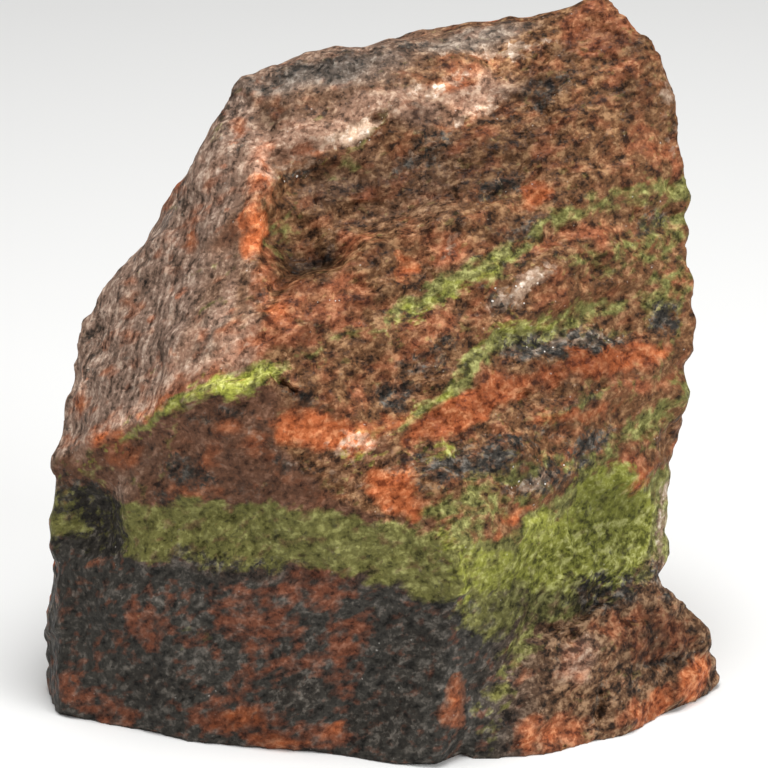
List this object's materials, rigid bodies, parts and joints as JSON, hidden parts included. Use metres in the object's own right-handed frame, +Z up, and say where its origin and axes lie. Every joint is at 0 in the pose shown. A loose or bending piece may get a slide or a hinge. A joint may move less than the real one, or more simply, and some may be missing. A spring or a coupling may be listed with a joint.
{
  "type": "rough unakite stone",
  "caption": "Rough, broken lump of unakite that fills a palm, orange, green and dark grey, standing upright on a flat break.",
  "frame": {"origin": "middle of the stone's box, on the flat break that it stands on", "axes": "+Z up, -Y towards the large front face that the picture shows, +X to its right"},
  "size_m": [0.0656, 0.0474, 0.0646],
  "materials": {
    "stone": "rough broken granular stone, orange feldspar and dark grains with green epidote veins and small glints"
  },
  "bodies": {
    "root": {"stone": "stone"}
  },
  "joints": []
}
